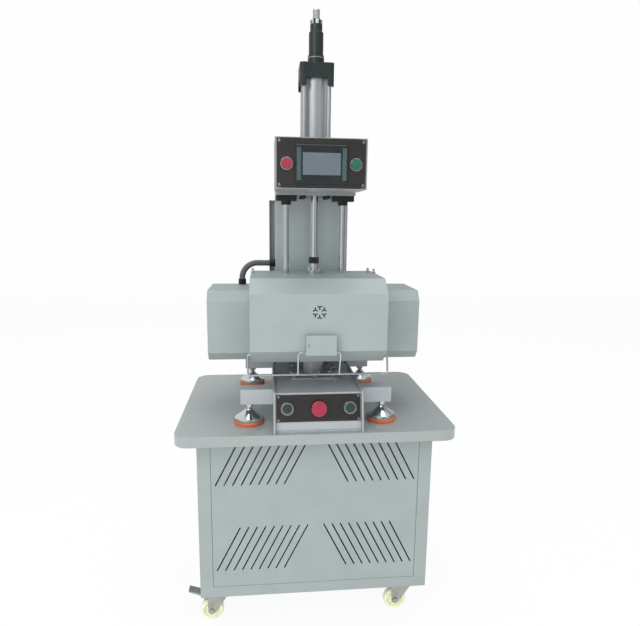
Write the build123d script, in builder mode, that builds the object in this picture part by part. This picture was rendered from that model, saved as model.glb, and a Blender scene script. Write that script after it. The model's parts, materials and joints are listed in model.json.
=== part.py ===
from build123d import *
import os
from math import atan2, cos, degrees, radians, sin, tan

# A pneumatic flat press on a wheeled sheet-metal cabinet.
# Millimetres, +Z up, the operator stands at -Y. The origin is on the floor under the middle of the table.

# Table and cabinet
table_width = 720
table_depth = 530
table_height = 584
table_rim = 27
table_corner = 40
table_sheet = 3
cabinet_width = 620
cabinet_depth = 408
tube_size = 34
tube_wall = 2
rail_height = 30
panel_sheet = 2
panel_gap = 0.6
slot_count = 9
slot_pitch = 22.5
slot_width = 3.5
slot_rise = 126
slot_run = 64
slot_inner = 21
slot_upper_top = table_height - 36
slot_lower_top = table_height - 282

# Casters
caster_height = 99
wheel_radius = 31.5
wheel_width = 24
wheel_rim = 20
wheel_web = 14
caster_trail = 25
caster_inset_x = 50
caster_inset_y = 47
caster_plate_x = 75
caster_plate_y = 60
caster_plate_t = 2.5
race_radius = 22
race_height = 6.5
kingpin_radius = 5
axle_radius = 4
fork_sheet = 2.5
fork_reach = 36
brake_pin_radius = 3

# Base between the two side cheeks
cheek_half = 113
cheek_sheet = 4.5
cheek_top = table_height + 103
cheek_front = 262
cheek_back = 200
front_lean = 12
base_plate_t = 6
deck_top = table_height + 97
deck_sheet = 2
deck_front = 231
lip_height = 26
console_panel_t = 2
console_panel_w = 212
console_panel_h = 68
console_button_pitch = 79
screw_radius = 3

# Cross bars and levelling feet
bar_half = 197
bar_depth = 40
bar_bottom = table_height + 54
bar_top = table_height + 94
bar_wall = 2.5
foot_x = 176
foot_y = 169
foot_radius = 39
foot_rubber = 10
bell_radius = 37
bell_height = 27
foot_stud_radius = 6
foot_nut_flats = 19
foot_nut_height = 10

# Column
column_half = 103
column_front = 40
column_back = 140
column_wall = 3
column_top = table_height + 587
cover_half = 120
cover_depth = 20
cover_sheet = 2
cover_bottom = table_height + 116
cover_top = table_height + 581

# Cylinder, guide rods and the plate that carries them
axis_y = -60
guide_x = 76
guide_plate_t = 19
guide_plate_half = 103
guide_rod_radius = 8
bush_width = 55
bush_depth = 55
bush_flange = 14
bush_lip = 10
bush_lip_radius = 13
bush_barrel_radius = 14
bush_barrel = 22
cap_size = 86
cap_corner = 8
lower_cap_height = 35
tube_length = 235
upper_cap_height = 35
bore_radius = 31.5
barrel_wall = 2.5
lobe_offset = 31
lobe_radius = 6
lug_drop = 20
piston_rod_radius = 10
rear_rod_radius = 8.5
piston_height = 30
collar_radius = 21
collar_height = 18
buffer_radius = 20.5
buffer_height = 7
sleeve_radius = 18.5
sleeve_height = 56
neck_radius = 15.5
neck_height = 17
top_nut_flats = 26
top_nut_height = 11
thread_tip = 26
stroke = 150

# Press head
hood_half = 170
hood_front = -238
hood_back = 8
hood_top = table_height + 381
hood_bottom = table_height + 168
hood_upper_crease = table_height + 347
hood_lower_crease = table_height + 205
hood_top_front = -190
hood_bottom_front = -195
hood_sheet = 2
vent_height = table_height + 303
vent_ring = 12.5
vent_arm = 6.5
vent_slot = 3
wing_inner = 174
wing_outer = 285
wing_front = -110
wing_back = 66
wing_top = table_height + 337
wing_bottom = table_height + 149
wing_upper_crease = table_height + 311
wing_lower_crease = table_height + 171
wing_top_front = -90
wing_bottom_front = -92
head_plate_t = 15
head_plate_half = 160
head_plate_depth = 120
standoff_radius = 10
standoff_x = 120
standoff_y = 42
platen_half = 140
platen_depth = 116
upper_platen_t = 25
lower_platen_t = 20
lower_platen_top = table_height + 204
platen_gap = 0.3
heater_radius = 6
heater_pitch = 36
flange_radius = 23
flange_height = 10
neck_flange_radius = 13
neck_flange_height = 17
rod_nut_flats = 24
rod_nut_height = 17

# Finger guard and switch cover
wire_radius = 2.5
wire_bend = 7
guard_half = 176
guard_pivot_y = -212
guard_pivot_z = table_height + 192
guard_front = -226
guard_low = table_height + 143
guard_pin = 12
riser_x = 52
riser_radius = 2.2
riser_top = table_height + 204
riser_y = -247
switch_half = 37.5
switch_x = 3.5
switch_depth = 18
switch_bottom = table_height + 199
switch_top = table_height + 249
switch_sheet = 1.5

# Control box
box_half = 108
box_front = -235
box_bottom = table_height + 596
box_top = table_height + 712
box_sheet = 2
face_half = 104
face_sheet = 3
face_margin = 3
screen_width = 122
screen_height = 87
screen_bezel = 6
screen_body = 24
screen_centre = table_height + 651.5
button_height = table_height + 652
button_x = 81

# Push buttons
barrel_radius = 11
barrel_bore = 9
barrel_length = 20
hole_clearance = 0.15
cap_radius = 11.4
guard_ring_radius = 16
guard_ring_height = 9
flat_ring_radius = 14.5
flat_ring_height = 4
button_travel = 3
start_travel = 4
estop_travel = 5
mushroom_radius = 19.5
mushroom_height = 9
mushroom_gap = 7
spigot_radius = 5

# Pedestal and its clamp bolts
pedestal_plate = 130
pedestal_plate_t = 6
pedestal_radius = 27
wing_bolt_radius = 4
wing_span = 11

# Conduit from the column cover down to the table
conduit_radius = 9
gland_radius = 11
gland_length = 16
hose_radius = 4

# Side brackets that carry the two side covers
bracket_t = 8
bracket_low = table_height + 206
bracket_high = table_height + 286
bracket_reach = 240

# Fits
running = 0.05
weld_gap = 0.1
clear = 0.3

# Derived places
frame_top = table_height - table_sheet
post_x = cabinet_width / 2 - tube_size
post_y = cabinet_depth / 2 - tube_size
plate_bottom = table_height + base_plate_t
guide_plate_top = column_top + guide_plate_t
cap_base = guide_plate_top
tube_base = cap_base + lower_cap_height
cap_under = tube_base + tube_length
cap_top = cap_under + upper_cap_height
collar_top = cap_top + collar_height
buffer_top = collar_top + buffer_height
sleeve_base = buffer_top + clear
sleeve_top = sleeve_base + sleeve_height
neck_top = sleeve_top + neck_height
nut_top = neck_top + top_nut_height
rod_tip = nut_top + thread_tip
flange_top = hood_top + flange_height
neck_flange_top = flange_top + neck_flange_height
cushion_length = (tube_length - piston_height - stroke - 3) / 2
piston_base = tube_base + 1 + cushion_length
guide_rod_top = table_height + 621
lean = radians(front_lean)
lean_up = Vector(0, sin(lean), cos(lean))
lean_out = Vector(0, -cos(lean), sin(lean))

finished = []


def keep(build, label):
    build.part.label = label
    finished.append((label, build.part))


def box_from(low, high, mode=Mode.ADD):
    size = [b - a for a, b in zip(low, high)]
    centre = [(a + b) / 2 for a, b in zip(low, high)]
    with Locations(Location(centre)):
        Box(*size, mode=mode)


# Table top: a tray with a downturned rim
with BuildPart() as table_top:
    with BuildSketch(Plane.XY.offset(table_height - table_rim)):
        RectangleRounded(table_width, table_depth, table_corner)
    extrude(amount=table_rim)
    with BuildSketch(Plane.XY.offset(table_height - table_rim)):
        RectangleRounded(table_width - 2 * table_sheet, table_depth - 2 * table_sheet, table_corner - table_sheet)
    extrude(amount=table_rim - table_sheet, mode=Mode.SUBTRACT)
    fillet(table_top.faces().sort_by(Axis.Z)[-1].edges(), table_sheet - 0.5)
keep(table_top, "table_top")

# Cabinet frame: four posts with rails between them at the top and the bottom
with BuildPart() as cabinet_frame:
    for sx in (-1, 1):
        for sy in (-1, 1):
            corner = (sx * (post_x + tube_size / 2), sy * (post_y + tube_size / 2))
            with BuildSketch(Plane.XY.offset(caster_height)):
                with Locations(corner):
                    Rectangle(tube_size, tube_size)
                    Rectangle(tube_size - 2 * tube_wall, tube_size - 2 * tube_wall, mode=Mode.SUBTRACT)
            extrude(amount=frame_top - caster_height)
    for z in (caster_height, frame_top - rail_height):
        for side in (-1, 1):
            y = side * (post_y + tube_size / 2)
            with BuildSketch(Plane.YZ.offset(weld_gap - post_x)):
                with Locations((y, z + rail_height / 2)):
                    Rectangle(tube_size, rail_height)
                    Rectangle(tube_size - 2 * tube_wall, rail_height - 2 * tube_wall, mode=Mode.SUBTRACT)
            extrude(amount=2 * post_x - 2 * weld_gap)
            x = side * (post_x + tube_size / 2)
            with BuildSketch(Plane.XZ.offset(post_y - weld_gap)):
                with Locations((x, z + rail_height / 2)):
                    Rectangle(tube_size, rail_height)
                    Rectangle(tube_size - 2 * tube_wall, rail_height - 2 * tube_wall, mode=Mode.SUBTRACT)
            extrude(amount=2 * weld_gap - 2 * post_y)
keep(cabinet_frame, "cabinet_frame")

# Louvred front panel, standing on the bottom rail between the posts
panel_bottom = caster_height + rail_height
panel_top = frame_top - rail_height
panel_height = panel_top - panel_bottom
with BuildPart() as front_panel:
    with BuildSketch(Plane.XZ.offset(cabinet_depth / 2 - 3)):
        with Locations((0, (panel_bottom + panel_top) / 2)):
            Rectangle(2 * post_x - 2 * panel_gap, panel_height)
    extrude(amount=panel_sheet)
    slot_length = (slot_run**2 + slot_rise**2) ** 0.5
    slot_angle = degrees(atan2(slot_rise, slot_run))
    for side in (-1, 1):
        for top in (min(slot_upper_top, panel_top - 2), slot_lower_top):
            for k in range(slot_count):
                x = side * (slot_inner + k * slot_pitch + slot_run / 2)
                with BuildSketch(Plane.XZ.offset(cabinet_depth / 2 - 4)):
                    with Locations(Location((x, top - slot_rise / 2, 0), (0, 0, -side * slot_angle))):
                        SlotOverall(slot_length, slot_width)
                extrude(amount=panel_sheet + 2, mode=Mode.SUBTRACT)
keep(front_panel, "front_panel")

# The two plain side panels and the plain rear panel
with BuildPart() as plain_panels:
    with BuildSketch(Plane.XZ.offset(3 - cabinet_depth / 2)):
        with Locations((0, (panel_bottom + panel_top) / 2)):
            Rectangle(2 * post_x - 2 * panel_gap, panel_height)
    extrude(amount=-panel_sheet)
    for side in (-1, 1):
        x = side * (cabinet_width / 2 - 2)
        with Locations(((x, 0, (panel_bottom + panel_top) / 2))):
            Box(panel_sheet, 2 * post_y - 2 * panel_gap, panel_height)
keep(plain_panels, "plain_panels")

with BuildPart() as cabinet_floor:
    with BuildSketch(Plane.XY.offset(panel_bottom)):
        Rectangle(2 * post_x - 2 * panel_gap + 14, 2 * post_y - 2 * panel_gap)
        Rectangle(2 * post_x - 2 * panel_gap, 2 * post_y - 2 * panel_gap + 14)
    extrude(amount=panel_sheet)
keep(cabinet_floor, "cabinet_floor")

# Casters
caster_x = cabinet_width / 2 - caster_inset_x
caster_y = cabinet_depth / 2 - caster_inset_y
race_bottom = caster_height - caster_plate_t - race_height
fork_top = race_bottom - clear
fork_under = fork_top - fork_sheet
pin_head_top = fork_under - clear
fork_inner = wheel_width / 2 + clear
casters = {"front_left": (-1, -1), "front_right": (1, -1), "rear_left": (-1, 1), "rear_right": (1, 1)}

with BuildPart() as caster_plates:
    for sx, sy in casters.values():
        spot = (sx * caster_x, sy * caster_y)
        with BuildSketch(Plane.XY.offset(caster_height - caster_plate_t)):
            with Locations(spot):
                RectangleRounded(caster_plate_x, caster_plate_y, 6)
        extrude(amount=caster_plate_t)
        with BuildSketch(Plane.XY.offset(race_bottom)):
            with Locations(spot):
                Circle(race_radius)
        extrude(amount=race_height)
        with BuildSketch(Plane.XY.offset(pin_head_top)):
            with Locations(spot):
                Circle(kingpin_radius)
        extrude(amount=race_bottom - pin_head_top)
        with BuildSketch(Plane.XY.offset(pin_head_top - 3)):
            with Locations(spot):
                Circle(kingpin_radius + 3)
        extrude(amount=3)
keep(caster_plates, "caster_plates")

brake_x = caster_trail + 4
brake_z = 74
for name, (sx, sy) in casters.items():
    cx, cy = sx * caster_x, sy * caster_y
    ax = cx - caster_trail
    with BuildPart() as fork:
        with BuildSketch(Plane.XY.offset(fork_under)):
            with Locations((cx - (fork_reach - race_radius) / 2, cy)):
                Rectangle(fork_reach + race_radius, 2 * fork_inner + 2 * fork_sheet)
        extrude(amount=fork_sheet)
        with BuildSketch(Plane.XY.offset(fork_under)):
            with Locations((cx, cy)):
                Circle(kingpin_radius + running)
        extrude(amount=fork_sheet, mode=Mode.SUBTRACT)
        for side in (-1, 1):
            y_low = cy + side * (fork_inner + fork_sheet / 2) + fork_sheet / 2
            with BuildSketch(Plane.XZ.offset(-y_low)):
                with BuildLine():
                    Polyline(
                        (cx - fork_reach, fork_top),
                        (cx + race_radius, fork_top),
                        (cx + race_radius, fork_top - 8),
                        (ax + 9, wheel_radius - 6),
                        (ax - 9, wheel_radius - 6),
                        (cx - fork_reach, brake_z - 8),
                        close=True,
                    )
                make_face()
                with Locations((ax, wheel_radius)):
                    Circle(10)
            extrude(amount=fork_sheet)
        half = fork_inner + fork_sheet + 3
        with BuildSketch(Plane.XZ.offset(-cy - half)):
            with Locations((ax, wheel_radius)):
                Circle(axle_radius)
        extrude(amount=2 * half)
        for side in (-1, 1):
            with BuildSketch(Plane.XZ.offset(-cy - side * (half - 1.5) - 1.5)):
                with Locations((ax, wheel_radius)):
                    RegularPolygon(7, 6)
            extrude(amount=3)
        if name == "front_left":
            with BuildSketch(Plane.XZ.offset(-cy - half + 2)):
                with Locations((cx - brake_x, brake_z)):
                    Circle(brake_pin_radius)
            extrude(amount=2 * half - 4)
    keep(fork, f"caster_fork_{name}")

    with BuildPart() as wheel:
        rim = wheel_radius - 5
        edge = wheel_width / 2
        flat = wheel_width / 6
        with BuildSketch(Plane(origin=(ax, cy, wheel_radius), x_dir=(0, 1, 0), z_dir=(1, 0, 0))):
            with BuildLine():
                Polyline(
                    (edge - 1, rim),
                    (edge - 1, wheel_rim + 2),
                    (wheel_web / 2, wheel_rim),
                    (wheel_web / 2, 12),
                    (edge, 10),
                    (edge, axle_radius + running),
                    (-edge, axle_radius + running),
                    (-edge, 10),
                    (-wheel_web / 2, 12),
                    (-wheel_web / 2, wheel_rim),
                    (1 - edge, wheel_rim + 2),
                    (1 - edge, rim),
                )
                ThreePointArc((1 - edge, rim), (-wheel_width / 3, wheel_radius - 1.2), (-flat, wheel_radius))
                Line((-flat, wheel_radius), (flat, wheel_radius))
                ThreePointArc((flat, wheel_radius), (wheel_width / 3, wheel_radius - 1.2), (edge - 1, rim))
            make_face()
        revolve(axis=Axis((ax, cy, wheel_radius), (0, 1, 0)))
    keep(wheel, f"caster_wheel_{name}")

# Brake pedal of the front left caster, hung on a pin between the fork's cheeks
brake_cx, brake_cy = -caster_x, -caster_y
pedal_half = fork_inner - clear
with BuildPart() as caster_brake:
    px = brake_cx - brake_x
    with BuildSketch(Plane.XZ.offset(-brake_cy - pedal_half)):
        with BuildLine():
            Polyline(
                (px + 4, brake_z - 1),
                (px - 6, brake_z + 4),
                (px - 30, brake_z + 12),
                (px - 48, brake_z + 18),
                (px - 58, brake_z + 21.5),
                (px - 59, brake_z + 18.5),
                (px - 49, brake_z + 14),
                (px - 30, brake_z + 6),
                (px - 17, brake_z + 1),
                (px - 18, brake_z - 11),
                (px - 15, brake_z - 11),
                (px - 9, brake_z - 3),
                close=True,
            )
        make_face()
        with Locations((px, brake_z)):
            Circle(brake_pin_radius + 3)
            Circle(brake_pin_radius + running, mode=Mode.SUBTRACT)
    extrude(amount=2 * pedal_half)
keep(caster_brake, "caster_brake")

# Base: two side cheeks welded to a bottom plate and a rear plate
cheek_inner = cheek_half - cheek_sheet
front_top_y = -cheek_front + (cheek_top - table_height) * tan(lean)
bar_places = (-foot_y, foot_y)
with BuildPart() as base_frame:
    for side in (-1, 1):
        with BuildSketch(Plane.YZ.offset(side * (cheek_inner + cheek_sheet / 2) - cheek_sheet / 2)):
            with BuildLine():
                Polyline(
                    (-cheek_front, table_height),
                    (front_top_y, cheek_top),
                    (column_front, cheek_top),
                    (cheek_back, bar_top + 5),
                    (cheek_back, table_height),
                    close=True,
                )
            make_face()
            with Locations(*[(y, (bar_bottom + bar_top) / 2) for y in bar_places]):
                Rectangle(bar_depth + 2 * clear, bar_top - bar_bottom + 2 * clear, mode=Mode.SUBTRACT)
        extrude(amount=cheek_sheet)
    box_from((-cheek_inner, -cheek_front + 10, table_height), (cheek_inner, cheek_back, plate_bottom))
keep(base_frame, "base_frame")

# Console deck: a folded sheet, flat on top and leaning at the front, with a bottom lip
deck_half = cheek_inner - clear
deck_drop = (deck_top - plate_bottom) / cos(lean)
with BuildPart() as console_deck:
    with BuildSketch(Plane.YZ.offset(-deck_half)):
        with BuildLine():
            Polyline(
                (column_front, deck_top),
                (-deck_front, deck_top),
                (-deck_front - (deck_top - plate_bottom) * tan(lean), plate_bottom),
                (-deck_front - (deck_top - plate_bottom) * tan(lean) + deck_sheet, plate_bottom),
                (-deck_front + deck_sheet, deck_top - deck_sheet),
                (column_front, deck_top - deck_sheet),
                close=True,
            )
        make_face()
    extrude(amount=2 * deck_half)
    panel_mid = Vector(0, -deck_front, deck_top) - lean_up * (console_panel_h / 2 + 4)
    front_plane = Plane(origin=panel_mid, x_dir=(1, 0, 0), z_dir=lean_out)
    with BuildSketch(front_plane.offset(-5)):
        with Locations((-console_button_pitch, 0), (0, 0), (console_button_pitch, 0)):
            Circle(barrel_radius + hole_clearance)
    extrude(amount=10, mode=Mode.SUBTRACT)
keep(console_deck, "console_deck")

with BuildPart() as console_panel:
    with BuildSketch(front_plane):
        Rectangle(console_panel_w, console_panel_h)
        with Locations((-console_button_pitch, 0), (0, 0), (console_button_pitch, 0)):
            Circle(barrel_radius + hole_clearance, mode=Mode.SUBTRACT)
    extrude(amount=console_panel_t)
keep(console_panel, "console_panel")

# Cross bars through the cheeks, with a levelling foot under each end
with BuildPart() as crossbars:
    for y in bar_places:
        low = (-bar_half, y - bar_depth / 2, bar_bottom)
        high = (bar_half, y + bar_depth / 2, bar_top)
        box_from(low, high)
        box_from([v + bar_wall for v in low], [v - bar_wall for v in high], mode=Mode.SUBTRACT)
        for x in (-foot_x, foot_x):
            with Locations((x, y, bar_bottom + bar_wall / 2)):
                Cylinder(foot_stud_radius + clear, bar_wall + 1, mode=Mode.SUBTRACT)
keep(crossbars, "crossbars")

feet = [(sx * foot_x, sy * foot_y) for sx in (-1, 1) for sy in (-1, 1)]
bell_base = table_height + foot_rubber - 2
with BuildPart() as foot_pads:
    for x, y in feet:
        with BuildSketch(Plane.XZ.offset(-y)):
            with BuildLine():
                Polyline(
                    (x, table_height),
                    (x + foot_radius - 2, table_height),
                    (x + foot_radius, table_height + 3),
                    (x + foot_radius, table_height + foot_rubber - 1),
                    (x + bell_radius + clear, table_height + foot_rubber),
                    (x + bell_radius + clear, bell_base),
                    (x, bell_base),
                    close=True,
                )
            make_face()
        revolve(axis=Axis((x, y, 0), (0, 0, 1)))
keep(foot_pads, "foot_pads")

# Chrome bell with its stud, and the lock nut that holds it under the bar
with BuildPart() as foot_stems:
    for x, y in feet:
        with BuildSketch(Plane.XZ.offset(-y)):
            with BuildLine():
                Polyline(
                    (x, bell_base),
                    (x + bell_radius, bell_base),
                    (x + bell_radius, bell_base + 7),
                    (x + bell_radius - 3, bell_base + 10),
                )
                ThreePointArc(
                    (x + bell_radius - 3, bell_base + 10), (x + 19, bell_base + 20), (x + 10, bell_base + bell_height)
                )
                Polyline(
                    (x + 10, bell_base + bell_height),
                    (x + 8, bell_base + bell_height + 4),
                    (x + foot_stud_radius, bell_base + bell_height + 4),
                    (x + foot_stud_radius, bar_top - 8),
                    (x, bar_top - 8),
                    (x, bell_base),
                )
            make_face()
        revolve(axis=Axis((x, y, 0), (0, 0, 1)))
    for x, y in feet:
        with BuildSketch(Plane.XY.offset(bar_bottom - foot_nut_height)):
            with Locations((x, y)):
                RegularPolygon(foot_nut_flats / 2, 6, major_radius=False)
                Circle(foot_stud_radius + running, mode=Mode.SUBTRACT)
        extrude(amount=foot_nut_height)
keep(foot_stems, "foot_stems")

# Column and its rear cover
with BuildPart() as column:
    box_from((-column_half, column_front, plate_bottom), (column_half, column_back, column_top))
    box_from(
        (-column_half + column_wall, column_front + column_wall, plate_bottom),
        (column_half - column_wall, column_back - column_wall, column_top),
        mode=Mode.SUBTRACT,
    )
    # Welded brackets that reach into the side covers, against their back walls
    bracket_back = wing_back - hood_sheet
    for side in (-1, 1):
        low = (side * column_half, bracket_back - bracket_t, bracket_low)
        high = (side * bracket_reach, bracket_back, bracket_high)
        box_from([min(a, b) for a, b in zip(low, high)], [max(a, b) for a, b in zip(low, high)])
keep(column, "column")

with BuildPart() as column_cover:
    box_from((-cover_half, column_back, cover_bottom), (cover_half, column_back + cover_depth, cover_top))
    box_from(
        (-cover_half + cover_sheet, column_back, cover_bottom + cover_sheet),
        (cover_half - cover_sheet, column_back + cover_depth - cover_sheet, cover_top - cover_sheet),
        mode=Mode.SUBTRACT,
    )
keep(column_cover, "column_cover")

# Guide plate on top of the column
plate_front = axis_y - cap_size / 2 - 3
with BuildPart() as guide_plate:
    box_from((-guide_plate_half, plate_front, column_top), (guide_plate_half, column_back, guide_plate_top))
    with BuildSketch(Plane.XY.offset(column_top)):
        with Locations((-guide_x, axis_y), (guide_x, axis_y)):
            Circle(bush_barrel_radius)
        with Locations((0, axis_y)):
            Circle(piston_rod_radius + 4)
    extrude(amount=guide_plate_t, mode=Mode.SUBTRACT)
keep(guide_plate, "guide_plate")

with BuildPart() as guide_bushes:
    for side in (-1, 1):
        with BuildSketch(Plane.XY.offset(column_top - bush_flange)):
            with Locations((side * guide_x, axis_y)):
                RectangleRounded(bush_width, bush_depth, 6)
        extrude(amount=bush_flange)
        with BuildSketch(Plane.XY.offset(column_top - bush_flange - bush_lip)):
            with Locations((side * guide_x, axis_y)):
                Circle(bush_lip_radius)
        extrude(amount=bush_lip)
        with BuildSketch(Plane.XY.offset(column_top)):
            with Locations((side * guide_x, axis_y)):
                Circle(bush_barrel_radius)
        extrude(amount=bush_barrel)
    for side in (-1, 1):
        with Locations((side * guide_x, axis_y, column_top)):
            Cylinder(guide_rod_radius + running, 4 * (bush_flange + bush_lip), mode=Mode.SUBTRACT)
keep(guide_bushes, "guide_bushes")

# Cylinder
with BuildPart() as cylinder_lower_cap:
    with BuildSketch(Plane.XY.offset(cap_base)):
        with Locations((0, axis_y)):
            RectangleRounded(cap_size, cap_size, cap_corner)
            Circle(piston_rod_radius + running, mode=Mode.SUBTRACT)
    extrude(amount=lower_cap_height)
keep(cylinder_lower_cap, "cylinder_lower_cap")

with BuildPart() as cylinder_tube:
    with BuildSketch(Plane.XY.offset(tube_base)):
        with Locations((0, axis_y)):
            Circle(bore_radius + barrel_wall)
            with GridLocations(2 * lobe_offset, 2 * lobe_offset, 2, 2):
                Circle(lobe_radius)
            for angle in (45, 135):
                with Locations(Location((0, 0, 0), (0, 0, angle))):
                    Rectangle(2 * lobe_offset * 2**0.5, 1.2 * lobe_radius)
            Circle(bore_radius, mode=Mode.SUBTRACT)
    extrude(amount=tube_length)
keep(cylinder_tube, "cylinder_tube")

with BuildPart() as cylinder_upper_cap:
    with BuildSketch(Plane.XY.offset(cap_under)):
        with Locations((0, axis_y)):
            RectangleRounded(cap_size, cap_size, cap_corner)
    extrude(amount=upper_cap_height)
    with BuildSketch(Plane.XY.offset(cap_under - lug_drop)):
        with Locations((0, axis_y)):
            RectangleRounded(cap_size, cap_size, cap_corner)
            Circle(cap_size * 0.585, mode=Mode.SUBTRACT)
    extrude(amount=lug_drop)
    with BuildSketch(Plane.XY.offset(cap_top)):
        with Locations((0, axis_y)):
            Circle(collar_radius)
    extrude(amount=collar_height)
    with BuildSketch(Plane.XY.offset(collar_top)):
        with Locations((0, axis_y)):
            Circle(buffer_radius)
    extrude(amount=buffer_height)
    with BuildSketch(Plane.XY.offset(cap_under)):
        with Locations((0, axis_y)):
            Circle(rear_rod_radius + running)
    extrude(amount=buffer_top - cap_under, mode=Mode.SUBTRACT)
keep(cylinder_upper_cap, "cylinder_upper_cap")

with BuildPart() as air_fittings:
    for z in (cap_base + lower_cap_height / 2, cap_under + upper_cap_height / 2):
        with BuildSketch(Plane.XZ.offset(-axis_y - cap_size / 2)):
            with Locations((0, z)):
                RegularPolygon(9, 6)
        extrude(amount=-9)
        with BuildSketch(Plane.XZ.offset(-axis_y - cap_size / 2 - 9)):
            with Locations((0, z)):
                Circle(6)
                Circle(hose_radius, mode=Mode.SUBTRACT)
        extrude(amount=-10)
keep(air_fittings, "air_fittings")

# Piston rod with its piston and the threaded rear end, which rides up with the head
with BuildPart() as piston_rod:
    sections = (
        (flange_top, piston_base + piston_height + cushion_length, piston_rod_radius),
        (piston_base + piston_height + cushion_length, rod_tip, rear_rod_radius),
    )
    for low, high, radius in sections:
        with BuildSketch(Plane.XY.offset(low)):
            with Locations((0, axis_y)):
                Circle(radius)
        extrude(amount=high - low)
    chamfer(piston_rod.edges().sort_by(Axis.Z)[-1], 2)
keep(piston_rod, "piston_rod")

with BuildPart() as piston:
    sections = (
        (piston_base - cushion_length, piston_base, piston_rod_radius + 6),
        (piston_base, piston_base + piston_height, bore_radius - running),
        (piston_base + piston_height, piston_base + piston_height + cushion_length, piston_rod_radius + 6),
    )
    for low, high, radius in sections:
        with BuildSketch(Plane.XY.offset(low)):
            with Locations((0, axis_y)):
                Circle(radius)
                Circle(piston_rod_radius, mode=Mode.SUBTRACT)
        extrude(amount=high - low)
keep(piston, "piston")

with BuildPart() as stroke_adjuster:
    for low, high, radius in ((sleeve_base, sleeve_top, sleeve_radius), (sleeve_top, neck_top, neck_radius)):
        with BuildSketch(Plane.XY.offset(low)):
            with Locations((0, axis_y)):
                Circle(radius)
        extrude(amount=high - low)
    chamfer(stroke_adjuster.edges().filter_by(GeomType.CIRCLE).group_by(Axis.Z)[1].sort_by(SortBy.RADIUS)[-1], 2)
    with Locations((0, axis_y, sleeve_base)):
        Cylinder(rear_rod_radius, 3 * sleeve_height, mode=Mode.SUBTRACT)
    with BuildSketch(Plane.XY.offset(neck_top + weld_gap)):
        with Locations((0, axis_y)):
            RegularPolygon(top_nut_flats / 2, 6, major_radius=False)
            Circle(rear_rod_radius, mode=Mode.SUBTRACT)
    extrude(amount=top_nut_height)
keep(stroke_adjuster, "stroke_adjuster")

with BuildPart() as floating_joint:
    with BuildSketch(Plane.XY.offset(neck_flange_top)):
        with Locations((0, axis_y)):
            RegularPolygon(rod_nut_flats / 2, 6, major_radius=False)
            Circle(piston_rod_radius, mode=Mode.SUBTRACT)
    extrude(amount=rod_nut_height)
keep(floating_joint, "floating_joint")

# Bolts that hold the cylinder from under the guide plate
with BuildPart() as mount_bolts:
    with BuildSketch(Plane.XY.offset(column_top - 8)):
        with Locations((0, axis_y)):
            with GridLocations(64, 64, 2, 2):
                Circle(7)
                RegularPolygon(3.5, 6, mode=Mode.SUBTRACT)
    extrude(amount=8)
keep(mount_bolts, "mount_bolts")

with BuildPart() as rod_flange:
    with BuildSketch(Plane.XY.offset(hood_top)):
        with Locations((0, axis_y)):
            Circle(flange_radius)
    extrude(amount=flange_height)
    with BuildSketch(Plane.XY.offset(flange_top)):
        with Locations((0, axis_y)):
            Circle(neck_flange_radius)
            Circle(piston_rod_radius, mode=Mode.SUBTRACT)
    extrude(amount=neck_flange_height)
    with BuildSketch(Plane.XY.offset(flange_top)):
        with Locations((0, axis_y)):
            with PolarLocations(flange_radius - 5, 4, start_angle=45):
                Circle(screw_radius)
    extrude(amount=5)
keep(rod_flange, "rod_flange")

# Head frame inside the hood: a plate with four standoffs down to the upper platen
upper_platen_bottom = lower_platen_top + platen_gap
upper_platen_top = upper_platen_bottom + upper_platen_t
head_plate_top = hood_top - hood_sheet
head_plate_bottom = head_plate_top - head_plate_t
with BuildPart() as head_frame:
    with BuildSketch(Plane.XY.offset(head_plate_bottom)):
        with Locations((0, axis_y)):
            Rectangle(2 * head_plate_half, head_plate_depth)
            with Locations((-guide_x, 0), (guide_x, 0)):
                Circle(guide_rod_radius, mode=Mode.SUBTRACT)
    extrude(amount=head_plate_t)
    with BuildSketch(Plane.XY.offset(upper_platen_top)):
        with Locations((0, axis_y)):
            with GridLocations(2 * standoff_x, 2 * standoff_y, 2, 2):
                Circle(standoff_radius)
    extrude(amount=head_plate_bottom - upper_platen_top)
keep(head_frame, "head_frame")

with BuildPart() as guide_rods:
    for side in (-1, 1):
        with BuildSketch(Plane.XY.offset(head_plate_bottom)):
            with Locations((side * guide_x, axis_y)):
                Circle(guide_rod_radius)
        extrude(amount=guide_rod_top - head_plate_bottom)
    chamfer(guide_rods.edges().filter_by(GeomType.CIRCLE).group_by(Axis.Z)[-1], 1.5)
keep(guide_rods, "guide_rods")

# Hood: a folded shell, open below, with the cooling vent cut through its front


def folded_outline(front, upper, lower, top_front, top, back, bottom_front, bottom):
    """Side outline of a folded cover, in Y and Z."""
    return [(bottom_front, bottom), (front, lower), (front, upper), (top_front, top), (back, top), (back, bottom)]


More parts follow.
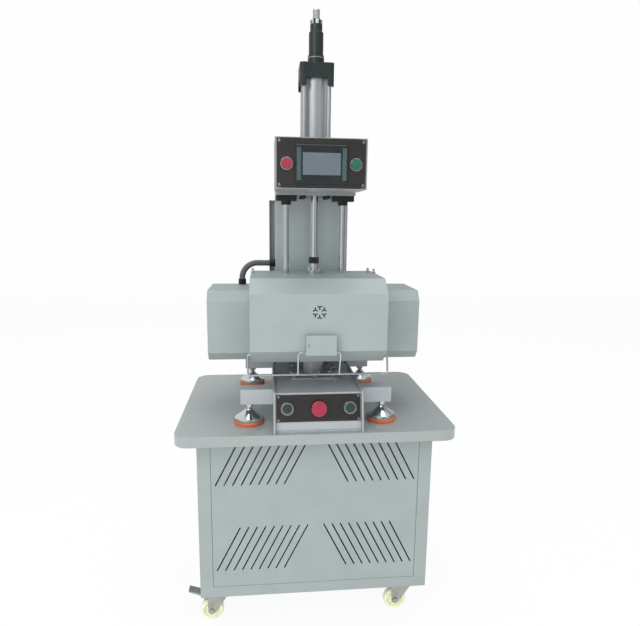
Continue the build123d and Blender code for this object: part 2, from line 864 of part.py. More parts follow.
hood_sizes = (hood_front, hood_upper_crease, hood_lower_crease, hood_top_front, hood_top, hood_back)
hood_outline = folded_outline(*hood_sizes, hood_bottom_front, hood_bottom)
with BuildPart() as hood:
    with BuildSketch(Plane.YZ.offset(-hood_half)):
        with BuildLine():
            Polyline(*hood_outline, close=True)
        make_face()
    extrude(amount=2 * hood_half)
    fillet(hood.edges().filter_by(Axis.X).group_by(Axis.Z)[-1] + hood.edges().filter_by(Axis.X).group_by(Axis.Y)[0], 3)
    with BuildSketch(Plane.YZ.offset(hood_sheet - hood_half)):
        with BuildLine():
            Polyline(*hood_outline, close=True)
        make_face()
        offset(amount=-hood_sheet, kind=Kind.INTERSECTION)
        with BuildLine():
            Polyline(
                (hood_bottom_front + 1.55 * hood_sheet, hood_bottom),
                (hood_back - hood_sheet, hood_bottom),
                (hood_back - hood_sheet, hood_bottom + 2 * hood_sheet),
                (hood_bottom_front + 1.55 * hood_sheet, hood_bottom + 2 * hood_sheet),
                close=True,
            )
        make_face()
    extrude(amount=2 * hood_half - 2 * hood_sheet, mode=Mode.SUBTRACT)
    with BuildSketch(Plane.XZ.offset(-hood_front - 10)):
        with Locations((0, vent_height)):
            for k in range(6):
                turn = 90 + 60 * k
                spot = (vent_ring * cos(radians(turn)), vent_ring * sin(radians(turn)))
                for arm in (0, 120, 240):
                    way = radians(turn + 180 + arm)
                    with Locations(
                        Location(
                            (spot[0] + vent_arm / 2 * cos(way), spot[1] + vent_arm / 2 * sin(way), 0),
                            (0, 0, turn + arm),
                        )
                    ):
                        Rectangle(vent_arm, vent_slot)
    extrude(amount=20, mode=Mode.SUBTRACT)
    with BuildSketch(Plane.XY.offset(hood_top - 10)):
        with Locations((-guide_x, axis_y), (guide_x, axis_y)):
            Circle(guide_rod_radius + clear)
    extrude(amount=20, mode=Mode.SUBTRACT)
    with BuildSketch(Plane.YZ.offset(-hood_half - 5)):
        with Locations((guard_pivot_y, guard_pivot_z)):
            Circle(wire_radius + running)
    extrude(amount=2 * hood_half + 10, mode=Mode.SUBTRACT)
keep(hood, "hood")

wing_sizes = (wing_front, wing_upper_crease, wing_lower_crease, wing_top_front, wing_top, wing_back)
wing_outline = folded_outline(*wing_sizes, wing_bottom_front, wing_bottom)
with BuildPart() as side_covers:
    with BuildSketch(Plane.YZ.offset(wing_inner)):
        with BuildLine():
            Polyline(*wing_outline, close=True)
        make_face()
    extrude(amount=wing_outer - wing_inner)
    fillet(side_covers.edges().filter_by(Axis.X).group_by(Axis.Z)[-1], 3)
    with BuildSketch(Plane.YZ.offset(wing_inner)):
        with BuildLine():
            Polyline(*wing_outline, close=True)
        make_face()
        offset(amount=-hood_sheet, kind=Kind.INTERSECTION)
    extrude(amount=wing_outer - wing_inner - hood_sheet, mode=Mode.SUBTRACT)
    mirror(about=Plane.YZ)
keep(side_covers, "side_covers")

# Platens
with BuildPart() as upper_platen:
    with BuildSketch(Plane.XY.offset(upper_platen_bottom)):
        with Locations((0, axis_y)):
            Rectangle(2 * platen_half, platen_depth)
    extrude(amount=upper_platen_t)
    with BuildSketch(Plane.YZ.offset(-platen_half)):
        with Locations((axis_y, upper_platen_bottom + upper_platen_t / 2)):
            with GridLocations(heater_pitch, 1, 3, 1):
                Circle(heater_radius + running)
    extrude(amount=2 * platen_half, mode=Mode.SUBTRACT)
keep(upper_platen, "upper_platen")

with BuildPart() as heater_rods:
    with BuildSketch(Plane.YZ.offset(-platen_half + 5)):
        with Locations((axis_y, upper_platen_bottom + upper_platen_t / 2)):
            with GridLocations(heater_pitch, 1, 3, 1):
                Circle(heater_radius)
    extrude(amount=2 * platen_half - 10)
keep(heater_rods, "heater_rods")

lower_platen_bottom = lower_platen_top - lower_platen_t
with BuildPart() as lower_platen:
    with BuildSketch(Plane.XY.offset(lower_platen_bottom)):
        with Locations((0, axis_y)):
            RectangleRounded(2 * platen_half, platen_depth, 4)
    extrude(amount=lower_platen_t)
keep(lower_platen, "lower_platen")

with BuildPart() as pedestal:
    with BuildSketch(Plane.XY.offset(deck_top)):
        with Locations((0, axis_y)):
            RectangleRounded(pedestal_plate, pedestal_plate, 8)
    extrude(amount=pedestal_plate_t)
    with BuildSketch(Plane.XY.offset(deck_top + pedestal_plate_t)):
        with Locations((0, axis_y)):
            Circle(pedestal_radius)
    extrude(amount=lower_platen_bottom - deck_top - pedestal_plate_t)
keep(pedestal, "pedestal")

clamp_top = deck_top + pedestal_plate_t
clamp_places = ((-54, -53), (2, -56), (50, -53), (50, -6), (-54, 52), (50, 52))
clamp_spots = [(x, axis_y + y) for x, y in clamp_places]
with BuildPart() as wing_bolts:
    for x, y in clamp_spots:
        with BuildSketch(Plane.XY.offset(clamp_top)):
            with Locations((x, y)):
                Circle(wing_bolt_radius + 3)
        extrude(amount=2)
        with BuildSketch(Plane.XY.offset(clamp_top + 2)):
            with Locations((x, y)):
                Circle(wing_bolt_radius)
        extrude(amount=10)
        with BuildSketch(Plane.XZ.offset(-y - 1.5)):
            for side in (-1, 1):
                with Locations(Location((x + side * (wing_bolt_radius + 4), clamp_top + 10, 0), (0, 0, side * 35))):
                    Ellipse(wing_span / 2 + 1.5, 3.5)
        extrude(amount=3)
keep(wing_bolts, "wing_bolts")

# Small eye fittings on the hood's top corners
with BuildPart() as head_fittings:
    for x, y in ((hood_half - 18, -45), (hood_half - 6, -70), (-hood_half + 4, -60)):
        with BuildSketch(Plane.XY.offset(hood_top)):
            with Locations((x, y)):
                RegularPolygon(5, 6)
        extrude(amount=5)
        with BuildSketch(Plane.XY.offset(hood_top + 5)):
            with Locations((x, y)):
                Circle(3)
        extrude(amount=8)
keep(head_fittings, "head_fittings")

# Finger guard: one bent wire on two pins, with two risers into the switch cover
with BuildPart() as guard_wire:
    pin_end = hood_half - guard_pin
    with BuildLine() as loop:
        FilletPolyline(
            (-pin_end, guard_pivot_y, guard_pivot_z),
            (-guard_half, guard_pivot_y, guard_pivot_z),
            (-guard_half, guard_front, guard_low),
            (guard_half, guard_front, guard_low),
            (guard_half, guard_pivot_y, guard_pivot_z),
            (pin_end, guard_pivot_y, guard_pivot_z),
            radius=[3, wire_bend, wire_bend, 3],
        )
    with BuildSketch(Plane(origin=loop.line @ 0, z_dir=loop.line % 0)):
        Circle(wire_radius)
    sweep(path=loop.line)
    for side in (-1, 1):
        riser_end = switch_x + side * (switch_half - 6)
        with BuildLine() as riser:
            FilletPolyline(
                (side * riser_x, guard_front, guard_low),
                (side * riser_x, riser_y, riser_top),
                (riser_end, riser_y, riser_top),
                radius=6,
            )
        with BuildSketch(Plane(origin=riser.line @ 0, z_dir=riser.line % 0)):
            Circle(riser_radius)
        sweep(path=riser.line)
keep(guard_wire, "guard_wire")

with BuildPart() as switch_cover:
    low = (switch_x - switch_half, hood_front - switch_depth, switch_bottom)
    high = (switch_x + switch_half, hood_front, switch_top)
    box_from(low, high)
    box_from(
        (low[0] + switch_sheet, low[1] + switch_sheet, low[2] - 1),
        (high[0] - switch_sheet, high[1], high[2] - switch_sheet),
        mode=Mode.SUBTRACT,
    )
    with BuildSketch(Plane.YZ.offset(low[0] - 1)):
        with Locations((riser_y, riser_top - 5)):
            Rectangle(2 * wire_radius + 3, 16)
    extrude(amount=2 * switch_half + 2, mode=Mode.SUBTRACT)
keep(switch_cover, "switch_cover")

# Control box in front of the cylinder
face_bottom = box_bottom + face_margin
face_top = box_top - face_margin
with BuildPart() as control_box:
    box_from((-box_half, box_front, box_bottom), (box_half, plate_front, box_top))
    box_from(
        (-box_half + box_sheet, box_front - 1, box_bottom + box_sheet),
        (box_half - box_sheet, plate_front - box_sheet, box_top - box_sheet),
        mode=Mode.SUBTRACT,
    )
    box_from((-box_half, box_front, box_bottom), (-face_half + 10, box_front + box_sheet, box_top))
    box_from((face_half - 10, box_front, box_bottom), (box_half, box_front + box_sheet, box_top))
keep(control_box, "control_box")

face_plane = Plane(origin=(0, box_front, 0), x_dir=(1, 0, 0), z_dir=(0, -1, 0))
with BuildPart() as control_panel:
    with BuildSketch(face_plane):
        with Locations((0, (face_bottom + face_top) / 2)):
            Rectangle(2 * face_half, face_top - face_bottom)
        with Locations((0, screen_centre)):
            Rectangle(screen_width - 12, screen_height - 12, mode=Mode.SUBTRACT)
        with Locations((-button_x, button_height), (button_x, button_height)):
            Circle(barrel_radius + hole_clearance, mode=Mode.SUBTRACT)
    extrude(amount=face_sheet)
keep(control_panel, "control_panel")

with BuildPart() as touch_screen:
    with BuildSketch(face_plane.offset(face_sheet)):
        with Locations((0, screen_centre)):
            RectangleRounded(screen_width, screen_height, 3)
    extrude(amount=screen_bezel)
    chamfer(touch_screen.faces().sort_by(Axis.Y)[0].edges(), 1.5)
    with BuildSketch(face_plane.offset(face_sheet - screen_body)):
        with Locations((0, screen_centre)):
            Rectangle(screen_width - 14, screen_height - 14)
    extrude(amount=screen_body)
keep(touch_screen, "touch_screen")

panel_screw_spots = [(x, z) for x in (-face_half + 6, face_half - 6) for z in (face_bottom + 6, face_top - 6)]
console_screw_x = console_panel_w / 2 - 5
console_screw_z = console_panel_h / 2 - 5
with BuildPart() as panel_screws:
    with BuildSketch(face_plane.offset(face_sheet)):
        with Locations(*panel_screw_spots):
            Circle(screw_radius)
    extrude(amount=2)
    with BuildSketch(front_plane.offset(console_panel_t)):
        with GridLocations(2 * console_screw_x, 2 * console_screw_z, 2, 2):
            Circle(screw_radius)
    extrude(amount=2)
keep(panel_screws, "panel_screws")

# Push buttons: a ring and threaded barrel in the panel, and the cap that slides in it
control_face = face_plane.offset(face_sheet)
console_face = front_plane.offset(console_panel_t)
ring_places = (
    (control_face, (-button_x, button_height), flat_ring_radius, flat_ring_height, face_sheet),
    (control_face, (button_x, button_height), flat_ring_radius, flat_ring_height, face_sheet),
    (console_face, (-console_button_pitch, 0), guard_ring_radius, guard_ring_height, console_panel_t),
    (console_face, (console_button_pitch, 0), guard_ring_radius, guard_ring_height, console_panel_t),
    (console_face, (0, 0), flat_ring_radius, flat_ring_height, console_panel_t),
)
with BuildPart() as button_rings:
    for plane, spot, ring, height, sheet in ring_places:
        with BuildSketch(plane):
            with Locations(spot):
                Circle(ring)
                Circle(cap_radius + clear, mode=Mode.SUBTRACT)
        extrude(amount=height)
        with BuildSketch(plane):
            with Locations(spot):
                Circle(ring)
                Circle(barrel_bore + running, mode=Mode.SUBTRACT)
        extrude(amount=0.8)
        with BuildSketch(plane.offset(-barrel_length)):
            with Locations(spot):
                Circle(barrel_radius)
                Circle(barrel_bore + running, mode=Mode.SUBTRACT)
        extrude(amount=barrel_length)
keep(button_rings, "button_rings")


def push_cap(plane, spot, proud, travel, label):
    """A round cap that stands proud of its panel, on a stem in the barrel."""
    with BuildPart() as cap:
        with BuildSketch(plane.offset(travel + 1.2)):
            with Locations(spot):
                Circle(cap_radius)
        extrude(amount=proud - travel - 1.2)
        outer = cap.faces().sort_by(Axis((0, 0, 0), plane.z_dir))[-1]
        fillet(outer.edges(), 1.2)
        with BuildSketch(plane.offset(-barrel_length + travel + 1)):
            with Locations(spot):
                Circle(barrel_bore)
        extrude(amount=barrel_length + 1)
    keep(cap, label)


push_cap(control_face, (-button_x, button_height), 8.5, button_travel, "stop_button")
push_cap(control_face, (button_x, button_height), 8.5, button_travel, "run_button")
push_cap(console_face, (-console_button_pitch, 0), 11, start_travel, "start_button_left")
push_cap(console_face, (console_button_pitch, 0), 11, start_travel, "start_button_right")

mushroom_base = flat_ring_height + mushroom_gap
with BuildPart() as estop_stem:
    with BuildSketch(console_face.offset(-barrel_length + estop_travel + 1)):
        Circle(barrel_bore)
    extrude(amount=barrel_length - estop_travel - 1 + mushroom_base - clear)
    with BuildSketch(console_face.offset(mushroom_base - clear)):
        Circle(spigot_radius)
    extrude(amount=mushroom_height - 3)
keep(estop_stem, "estop_stem")

with BuildPart() as estop_head:
    with BuildSketch(console_face.offset(mushroom_base)):
        Circle(mushroom_radius)
    extrude(amount=mushroom_height)
    rims = estop_head.edges().filter_by(GeomType.CIRCLE).sort_by(Axis((0, 0, 0), lean_out))
    fillet(rims[-1], 3)
    with BuildSketch(console_face.offset(mushroom_base)):
        Circle(spigot_radius + running)
    extrude(amount=mushroom_height - 3, mode=Mode.SUBTRACT)
keep(estop_head, "estop_head")

# Conduit from the column's left side over to the top of the left side cover
conduit_y = 52
conduit_high = table_height + 399
conduit_out = -199
conduit_bend = 44
conduit_start = (-column_half - gland_length, conduit_y, conduit_high)
conduit_end = (conduit_out, conduit_y, wing_top + gland_length)
with BuildPart() as conduit:
    with BuildLine() as conduit_path:
        FilletPolyline(conduit_start, (conduit_out, conduit_y, conduit_high), conduit_end, radius=conduit_bend)
    with BuildSketch(Plane(origin=conduit_path.line @ 0, z_dir=conduit_path.line % 0)):
        Circle(conduit_radius)
    sweep(path=conduit_path.line)
conduit_length = sum(edge.length for edge in conduit_path.line.edges())
tube_volume = 3.14159 * conduit_radius**2 * conduit_length
print("conduit length", round(conduit_length), "volume share", round(conduit.part.volume / tube_volume, 4))
keep(conduit, "conduit")

with BuildPart() as conduit_glands:
    with BuildSketch(Plane.YZ.offset(-column_half - gland_length)):
        with Locations((conduit_y, conduit_high)):
            Circle(gland_radius)
    extrude(amount=gland_length)
    with BuildSketch(Plane.XY.offset(wing_top)):
        with Locations((conduit_out, conduit_y)):
            Circle(gland_radius)
    extrude(amount=gland_length)
keep(conduit_glands, "conduit_glands")

os.makedirs("parts", exist_ok=True)
for label, part in finished:
    export_step(part, f"parts/{label}.step")
print(len(finished), "nodes")
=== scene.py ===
import json
from math import cos, pi, radians, sin

import bpy
from mathutils import Matrix, Vector


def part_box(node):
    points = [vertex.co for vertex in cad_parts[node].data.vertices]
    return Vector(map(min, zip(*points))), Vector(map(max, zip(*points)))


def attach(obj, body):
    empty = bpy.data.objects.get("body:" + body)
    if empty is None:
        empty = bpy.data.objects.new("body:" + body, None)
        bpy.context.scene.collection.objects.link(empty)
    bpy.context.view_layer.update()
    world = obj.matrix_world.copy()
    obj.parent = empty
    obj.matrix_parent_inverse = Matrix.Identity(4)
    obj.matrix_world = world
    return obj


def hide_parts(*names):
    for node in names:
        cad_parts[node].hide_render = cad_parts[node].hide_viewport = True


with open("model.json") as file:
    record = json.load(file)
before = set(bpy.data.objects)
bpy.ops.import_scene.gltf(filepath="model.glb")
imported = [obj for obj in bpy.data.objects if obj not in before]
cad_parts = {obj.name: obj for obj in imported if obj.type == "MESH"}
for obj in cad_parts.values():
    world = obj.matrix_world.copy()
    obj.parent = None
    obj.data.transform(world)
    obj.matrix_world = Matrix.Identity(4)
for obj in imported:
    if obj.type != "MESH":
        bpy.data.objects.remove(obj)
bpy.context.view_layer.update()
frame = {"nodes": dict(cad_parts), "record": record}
nodes = frame["nodes"]
scene = bpy.context.scene
scene.view_settings.view_transform = "Standard"

# Camera, solved from the straight edges in the photo
camera_x, camera_y, camera_z = -0.12711, -1.49886, 1.11157
yaw, pitch, roll = radians(5.78), radians(10.11), radians(0.71)
sensor_width = 36
focal_length = 29.74

forward = Vector((sin(yaw) * cos(pitch), cos(yaw) * cos(pitch), -sin(pitch)))
level_right = Vector((cos(yaw), -sin(yaw), 0))
level_up = level_right.cross(forward)
right = cos(roll) * level_right + sin(roll) * level_up
up = cos(roll) * level_up - sin(roll) * level_right
camera_data = bpy.data.cameras.new("camera")
camera_data.sensor_width = sensor_width
camera_data.lens = focal_length
camera = bpy.data.objects.new("camera", camera_data)
scene.collection.objects.link(camera)
camera.matrix_world = Matrix((
    (right.x, up.x, -forward.x, camera_x),
    (right.y, up.y, -forward.y, camera_y),
    (right.z, up.z, -forward.z, camera_z),
    (0, 0, 0, 1),
))
scene.camera = camera

# Shared by every surface
worn_edge_radius = 0.0016
grain_height = 0.0006
coat_roughness = 0.12
gloss_variation = 0.07


def lin(code):
    """Linear colour of a hex code."""
    values = [int(code[i:i + 2], 16) / 255 for i in (1, 3, 5)]
    return [v / 12.92 if v <= 0.04045 else ((v + 0.055) / 1.055) ** 2.4 for v in values] + [1]


def material(name, code, rough, metal=0.0, wear=None, scale=14.0, vary=0.08, bump=0.04,
             grain=900.0, coat=0.0, stretch=(1, 1, 1)):
    """Painted, moulded or metal surface: mottled colour, uneven gloss, fine grain and worn edges."""
    mat = bpy.data.materials.new(name)
    mat.use_nodes = True
    tree = mat.node_tree
    new, link = tree.nodes.new, tree.links.new
    shader = tree.nodes["Principled BSDF"]
    shader.inputs["Metallic"].default_value = metal
    shader.inputs["Coat Weight"].default_value = coat
    shader.inputs["Coat Roughness"].default_value = coat_roughness
    place = new("ShaderNodeTexCoord")
    mapping = new("ShaderNodeMapping")
    mapping.inputs["Scale"].default_value = stretch
    link(place.outputs["Object"], mapping.inputs["Vector"])

    def noise(size, detail):
        node = new("ShaderNodeTexNoise")
        node.inputs["Scale"].default_value = size
        node.inputs["Detail"].default_value = detail
        link(mapping.outputs["Vector"], node.inputs["Vector"])
        return node.outputs["Fac"]

    def spread(source, low, high, start=0.3, stop=0.7):
        """Maps source from start..stop to low..high."""
        node = new("ShaderNodeMapRange")
        node.inputs["From Min"].default_value = start
        node.inputs["From Max"].default_value = stop
        node.inputs["To Min"].default_value = low
        node.inputs["To Max"].default_value = high
        link(source, node.inputs["Value"])
        return node.outputs["Result"]

    def blend(factor, first, second):
        """Mixes two colours, each a list of numbers or an output."""
        node = new("ShaderNodeMix")
        node.data_type = "RGBA"
        link(factor, node.inputs["Factor"])
        for socket, value in ((node.inputs[6], first), (node.inputs[7], second)):
            if isinstance(value, list):
                socket.default_value = value
            else:
                link(value, socket)
        return node.outputs[2]

    # Two tones of the base colour
    base = lin(code)
    dull = [v * (1 - vary) for v in base[:3]] + [1]
    bright = [min(1, v * (1 + vary)) for v in base[:3]] + [1]
    mottled = blend(spread(noise(scale, 4), 0, 1), dull, bright)

    # An edge is where the rounded normal leaves the face's own; noise breaks its wear up
    bevel = new("ShaderNodeBevel")
    bevel.samples = 4
    bevel.inputs["Radius"].default_value = worn_edge_radius
    geometry = new("ShaderNodeNewGeometry")
    dot = new("ShaderNodeVectorMath")
    dot.operation = "DOT_PRODUCT"
    link(bevel.outputs["Normal"], dot.inputs[0])
    link(geometry.outputs["Normal"], dot.inputs[1])
    edge = spread(dot.outputs["Value"], 1, 0, 0.8, 0.985)
    broken = new("ShaderNodeMath")
    broken.operation = "MULTIPLY"
    link(edge, broken.inputs[0])
    link(spread(noise(90, 3), 0, 0.6, 0.45, 0.65), broken.inputs[1])
    worn = lin(wear) if wear else [min(1, v * 1.5 + 0.03) for v in base[:3]] + [1]
    link(blend(broken.outputs["Value"], mottled, worn), shader.inputs["Base Color"])

    # Uneven gloss and a fine grain
    smoothest, roughest = max(0.03, rough - gloss_variation), min(1, rough + gloss_variation)
    link(spread(noise(scale * 3, 5), smoothest, roughest), shader.inputs["Roughness"])
    grainy = new("ShaderNodeBump")
    grainy.inputs["Strength"].default_value = bump
    grainy.inputs["Distance"].default_value = grain_height
    link(noise(grain, 2), grainy.inputs["Height"])
    link(bevel.outputs["Normal"], grainy.inputs["Normal"])
    link(grainy.outputs["Normal"], shader.inputs["Normal"])
    return mat


# One look for each material slot of the record, then those that only this scene uses
looks = {}
for name, code, rough, options in (
    ("body_enamel", "#959F9D", 0.42, dict(wear="#B9BFBC", bump=0.12, grain=700, vary=0.04)),
    ("table_enamel", "#969D9B", 0.24, dict(wear="#A4ABA9", coat=0.4, bump=0.01, vary=0.025, scale=4)),
    ("deck_grey", "#A2A6A9", 0.38, dict(wear="#C2C5C7", bump=0.1, vary=0.05)),
    ("box_grey", "#8F9594", 0.34, dict(wear="#D6D8D7", bump=0.08, vary=0.03)),
    ("panel_dark", "#2A2825", 0.16, dict(wear="#5C5853", coat=0.7, bump=0.02, vary=0.12)),
    ("screen_dark", "#1D2426", 0.3, dict(wear="#3C4648", bump=0.06, vary=0.08)),
    ("cap_dark", "#27302F", 0.42, dict(metal=0.3, wear="#69706E", bump=0.15, grain=500, vary=0.15)),
    ("tube_alu", "#A9ADB0", 0.36, dict(metal=0.7, bump=0.08, stretch=(1, 1, 0.04), vary=0.06)),
    ("machined_alu", "#A4A7A8", 0.34, dict(metal=0.75, bump=0.12, stretch=(1, 0.05, 1), vary=0.08)),
    ("chrome", "#CBCED0", 0.13, dict(metal=1.0, bump=0.02, stretch=(1, 1, 0.1), vary=0.06)),
    ("zinc", "#A6A89F", 0.36, dict(metal=0.85, bump=0.12, scale=40, vary=0.14)),
    ("black_steel", "#202223", 0.4, dict(metal=0.4, wear="#5C5E5F", bump=0.1, vary=0.2)),
    ("foot_rubber", "#D0683A", 0.62, dict(bump=0.25, grain=350, vary=0.14)),
    ("wheel_nylon", "#DDE0BD", 0.42, dict(bump=0.12, scale=50, vary=0.1)),
    ("button_green", "#1B5C4C", 0.28, dict(coat=0.5, bump=0.03, vary=0.1)),
    ("button_red", "#96203A", 0.3, dict(coat=0.5, bump=0.03, vary=0.1)),
    ("conduit_dark", "#55595B", 0.55, dict(bump=0.12, vary=0.18)),
    ("steel_grey", "#9A9FA0", 0.42, dict(metal=0.45, bump=0.14, scale=30, vary=0.14)),
    ("start_green", "#1B3B32", 0.32, dict(coat=0.4, bump=0.03, vary=0.1)),
    ("display", "#5F6A6F", 0.14, dict(coat=0.6, bump=0.01, vary=0.06)),
    ("slate", "#3F5256", 0.34, dict(wear="#5E6F72", bump=0.06, vary=0.06)),
    ("race_grease", "#A5563F", 0.5, dict(bump=0.2, scale=60, vary=0.2)),
):
    looks[name] = material(name, code, rough, **options)
own_looks = {"start_button_left": "start_green", "start_button_right": "start_green"}
for entry in frame["record"]["subparts"]:
    for material_slot in nodes[entry["node"]].material_slots:
        material_slot.material = looks[own_looks.get(entry["node"], entry["material_slot"])]


def mesh(name, vertices, faces, look, body="root"):
    data = bpy.data.meshes.new(name)
    data.from_pydata([tuple(v) for v in vertices], [], faces)
    data.update()
    thing = bpy.data.objects.new(name, data)
    scene.collection.objects.link(thing)
    data.materials.append(looks[look])
    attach(thing, body)
    return thing


def block(name, low, high, look, body="root"):
    """A box between two corners."""
    points = [(x, y, z) for x in (low[0], high[0]) for y in (low[1], high[1]) for z in (low[2], high[2])]
    faces = [(0, 1, 3, 2), (4, 6, 7, 5), (0, 4, 5, 1), (2, 3, 7, 6), (0, 2, 6, 4), (1, 5, 7, 3)]
    return mesh(name, points, faces, look, body)


def circle(centre, radius, side, other, sides):
    """Points round a centre, in the plane of the unit vectors side and other."""
    turns = [2 * pi * k / sides for k in range(sides)]
    return [centre + radius * (cos(turn) * side + sin(turn) * other) for turn in turns]


def joined(rings, sides):
    """Faces that join each circle of points to the next."""
    faces = []
    for ring in range(rings - 1):
        for k in range(sides):
            a, b = ring * sides + k, ring * sides + (k + 1) % sides
            faces.append((a, b, b + sides, a + sides))
    return faces


def turned(name, centre, axis, outline, look, body="root", sides=32):
    """A round piece about an axis; outline lists (radius, height) from the base up, closed at both ends."""
    axis = Vector(axis).normalized()
    side = axis.orthogonal().normalized()
    other = axis.cross(side)
    points = []
    for radius, height in outline:
        points += circle(Vector(centre) + axis * height, radius, side, other, sides)
    faces = joined(len(outline), sides)
    faces.append(tuple(range(sides))[::-1])
    faces.append(tuple(range((len(outline) - 1) * sides, len(outline) * sides)))
    return mesh(name, points, faces, look, body)


# Ribbed conduit over the plain CAD tube: a level run to the left, a quarter bend, a drop
conduit_y, conduit_level, conduit_start, conduit_out, conduit_end = 0.052, 0.983, -0.119, -0.199, 0.937
conduit_radius, conduit_bend, groove = 0.009, 0.044, 0.0014
run_rings, bend_rings, conduit_sides = 18, 36, 24
straight = abs(conduit_out) - abs(conduit_start) - conduit_bend
along_y = Vector((0, 1, 0))
path = []
for k in range(run_rings + 1):
    place = Vector((conduit_start - straight * k / run_rings, conduit_y, conduit_level))
    path.append((place, Vector((-1, 0, 0))))
bend_centre = Vector((conduit_out + conduit_bend, conduit_y, conduit_level - conduit_bend))
for k in range(1, bend_rings + 1):
    turn = pi / 2 * k / bend_rings
    place = bend_centre + conduit_bend * Vector((-sin(turn), 0, cos(turn)))
    path.append((place, Vector((-cos(turn), 0, -sin(turn)))))
path.append((Vector((conduit_out, conduit_y, conduit_end)), Vector((0, 0, -1))))
points = []
for index, (place, way) in enumerate(path):
    rib_radius = conduit_radius if index % 2 else conduit_radius - groove
    points += circle(place, rib_radius, way.cross(along_y).normalized(), along_y, conduit_sides)
ribs = mesh("conduit_ribs", points, joined(len(path), conduit_sides), "conduit_dark")
for face in ribs.data.polygons:
    face.use_smooth = True
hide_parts("conduit")

# Glass of the touch screen, with its slate side strips
glass_half, glass_bottom, glass_top, glass_proud = 0.044, 1.211, 1.261, 0.0004
strip_inner, strip_outer, strip_bottom, strip_top, strip_proud = 0.048, 0.058, 1.199, 1.272, 0.0003
screen_inset = 0.002
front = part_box("touch_screen")[0].y
screen = block("display", (-glass_half, front - glass_proud, glass_bottom),
               (glass_half, front + screen_inset, glass_top), "display")
for side in (-1, 1):
    low, high = sorted((side * strip_inner, side * strip_outer))
    strip = block(f"screen_strip_{side}", (low, front - strip_proud, strip_bottom),
                  (high, front + screen_inset, strip_top), "slate")

# On the cylinder's rear rod: a bright six-sided nut face and the threaded end, which rise with the head.
# buffer_line is the pale ring round the upper cap's collar. It is a closed disc that the rod runs through.
rod_y = -0.06
nut_bottom, nut_height, nut_radius, nut_chamfer = 1.5932, 0.0112, 0.0154, 0.001
nut = [(0.0151, 0), (nut_radius, nut_chamfer), (nut_radius, 0.0102), (0.0151, nut_height)]
thread_bottom, thread_crest, thread_root, thread_step, thread_rings = 1.6046, 0.0090, 0.0086, 0.0008, 28
thread = [(thread_crest if k % 2 else thread_root, thread_step * k) for k in range(thread_rings)]
buffer_bottom, buffer_radius, buffer_height = 1.5128, 0.0212, 0.0016
turned("rear_nut_face", (0, rod_y, nut_bottom), (0, 0, 1), nut, "zinc", "head", sides=6)
turned("rear_thread", (0, rod_y, thread_bottom), (0, 0, 1), thread, "steel_grey", "head")
turned("buffer_line", (0, rod_y, buffer_bottom), (0, 0, 1),
       [(buffer_radius, 0), (buffer_radius, buffer_height)], "box_grey")

# A black disc behind the cooling vent: painted shade for the dark space inside the vent
vent_y, vent_z, vent_radius, vent_depth = -0.2355, 0.887, 0.0215, 0.0008
turned("vent_painted_shade", (0, vent_y, vent_z), (0, -1, 0),
       [(vent_radius, 0), (vent_radius, vent_depth)], "black_steel", "head")

# Four socket screws on top of the cylinder's upper cap. Guessed: the photo doesn't show them.
cap_top = 1.495
cap_screw = [(0.005, 0), (0.005, 0.002), (0.0035, 0.0022)]
for x in (-0.031, 0.031):
    for y in (-0.091, -0.029):
        turned(f"cap_screw_{x}_{y}", (x, y, cap_top), (0, 0, 1), cap_screw, "zinc")

# Reddish ball races of the casters
caster_x, caster_y, race_bottom = 0.26, 0.157, 0.0915
race = [(0.0222, 0), (0.0232, 0.0012), (0.0222, 0.0024)]
for sx in (-1, 1):
    for sy in (-1, 1):
        ring = turned(f"race_{sx}_{sy}", (sx * caster_x, sy * caster_y, race_bottom), (0, 0, 1), race, "race_grease")

# Two bolt heads on each side cover's outer face. Guessed: the photo doesn't show them.
cover_face, cover_bolt_y = 0.285, 0.03
cover_bolt = [(0.005, 0), (0.005, 0.0015), (0.0036, 0.0026)]
for side in (-1, 1):
    for z in (0.80, 0.85):
        turned(f"cover_bolt_{side}_{z}", (side * cover_face, cover_bolt_y, z), (side, 0, 0), cover_bolt, "zinc")

# A screw on the switch cover's face
switch_screw = [(0.003, 0), (0.003, 0.001), (0.0018, 0.0018)]
turned("switch_screw", (-0.028, -0.256, 0.808), (0, -1, 0), switch_screw, "zinc", "head")

# World: a soft pale light, white to the camera, and banded for what the polished parts mirror
world = bpy.data.worlds.new("world")
scene.world = world
world.use_nodes = True
sky = world.node_tree
ambient = sky.nodes["Background"]
ambient.inputs["Color"].default_value = (0.93, 0.96, 1.0, 1)
ambient.inputs["Strength"].default_value = 0.9
seen = sky.nodes.new("ShaderNodeBackground")
seen.inputs["Color"].default_value = (0.99, 0.99, 0.99, 1)
seen.inputs["Strength"].default_value = 1.0
# Tones from the left (0) to the right (1) of the mirrored world: a bright window, then dark and light bands
mirrored = sky.nodes.new("ShaderNodeBackground")
direction = sky.nodes.new("ShaderNodeTexCoord")
direction_parts = sky.nodes.new("ShaderNodeSeparateXYZ")
left_to_right = sky.nodes.new("ShaderNodeMapRange")
left_to_right.inputs["From Min"].default_value = -1
bands = sky.nodes.new("ShaderNodeValToRGB")
bands.color_ramp.elements[0].color = (0.5, 0.5, 0.52, 1)
bands.color_ramp.elements[1].color = (0.25, 0.26, 0.27, 1)
for place, tone in ((0.2, 1.0), (0.42, 0.75), (0.52, 0.3), (0.62, 0.2), (0.74, 0.85), (0.86, 0.3)):
    bands.color_ramp.elements.new(place).color = (tone, tone, tone, 1)
rays = sky.nodes.new("ShaderNodeLightPath")
lit = sky.nodes.new("ShaderNodeMixShader")
shown = sky.nodes.new("ShaderNodeMixShader")
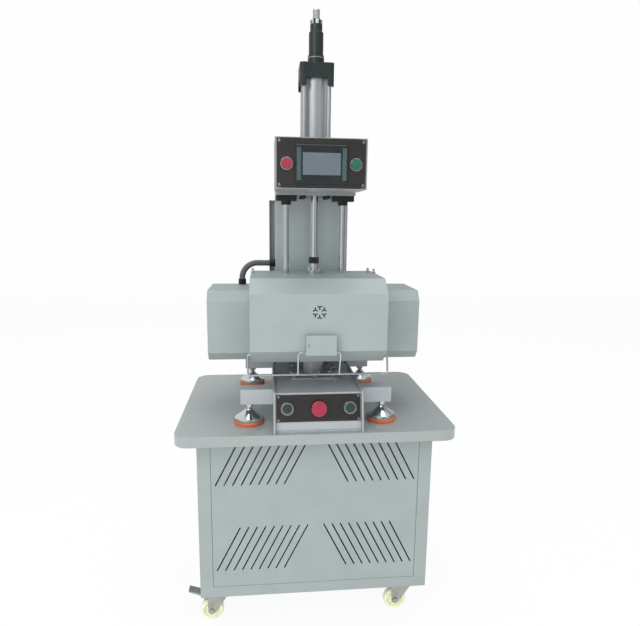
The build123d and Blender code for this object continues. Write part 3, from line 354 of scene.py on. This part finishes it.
for output, socket in (
    (direction.outputs["Generated"], direction_parts.inputs["Vector"]),
    (direction_parts.outputs["X"], left_to_right.inputs["Value"]),
    (left_to_right.outputs["Result"], bands.inputs["Fac"]),
    (bands.outputs["Color"], mirrored.inputs["Color"]),
    (rays.outputs["Is Glossy Ray"], lit.inputs["Fac"]),
    (ambient.outputs["Background"], lit.inputs[1]),
    (mirrored.outputs["Background"], lit.inputs[2]),
    (rays.outputs["Is Camera Ray"], shown.inputs["Fac"]),
    (lit.outputs["Shader"], shown.inputs[1]),
    (seen.outputs["Background"], shown.inputs[2]),
    (shown.outputs["Shader"], sky.nodes["World Output"].inputs["Surface"]),
):
    sky.links.new(output, socket)


def lamp(name, place, target, size, power, shiny=True):
    """A soft rectangular lamp that faces target; shiny says whether polished parts mirror it."""
    data = bpy.data.lights.new(name, "AREA")
    data.shape = "RECTANGLE"
    data.size, data.size_y = size
    data.energy = power
    thing = bpy.data.objects.new(name, data)
    scene.collection.objects.link(thing)
    thing.location = place
    thing.visible_glossy = shiny
    thing.rotation_euler = (Vector(target) - Vector(place)).to_track_quat("-Z", "Y").to_euler()


lamp("key", (-1.6, -2.4, 2.9), (0, 0, 0.9), (1.6, 1.2), 24)
lamp("fill", (2.3, -1.9, 1.7), (0, 0, 0.8), (1.4, 1.8), 5, False)
lamp("left", (-2.0, -2.2, 0.9), (0, 0, 0.7), (1.2, 1.6), 17, False)
lamp("front", (-0.25, -3.1, 1.05), (0, 0, 0.8), (1.6, 1.2), 14, False)
lamp("top", (0.2, 0.1, 3.4), (0, 0, 0.6), (2.2, 1.6), 26)

# Pale floor: mostly its own glow, so that it stays as white as the photo's background
floor_half, floor_z = 6.0, -0.0005
floor_glow = 0.93
corners = [(-floor_half, -floor_half), (floor_half, -floor_half), (floor_half, floor_half), (-floor_half, floor_half)]
floor_data = bpy.data.meshes.new("floor")
floor_data.from_pydata([(x, y, floor_z) for x, y in corners], [], [(0, 1, 2, 3)])
floor = bpy.data.objects.new("floor", floor_data)
scene.collection.objects.link(floor)
paper = bpy.data.materials.new("paper")
paper.use_nodes = True
sheet = paper.node_tree
grey = sheet.nodes["Principled BSDF"]
grey.inputs["Roughness"].default_value = 0.9
cloud = sheet.nodes.new("ShaderNodeTexNoise")
cloud.inputs["Scale"].default_value = 3
cloud_tone = sheet.nodes.new("ShaderNodeMapRange")
cloud_tone.inputs["To Min"].default_value = 0.93
cloud_tone.inputs["To Max"].default_value = 0.96
glow = sheet.nodes.new("ShaderNodeEmission")
glow.inputs["Strength"].default_value = 1.0
glow.inputs["Color"].default_value = (0.99, 0.99, 0.99, 1)
mixed = sheet.nodes.new("ShaderNodeMixShader")
mixed.inputs["Fac"].default_value = floor_glow
for output, socket in (
    (cloud.outputs["Fac"], cloud_tone.inputs["Value"]),
    (cloud_tone.outputs["Result"], grey.inputs["Base Color"]),
    (grey.outputs["BSDF"], mixed.inputs[1]),
    (glow.outputs["Emission"], mixed.inputs[2]),
    (mixed.outputs["Shader"], sheet.nodes["Material Output"].inputs["Surface"]),
):
    sheet.links.new(output, socket)
floor_data.materials.append(paper)
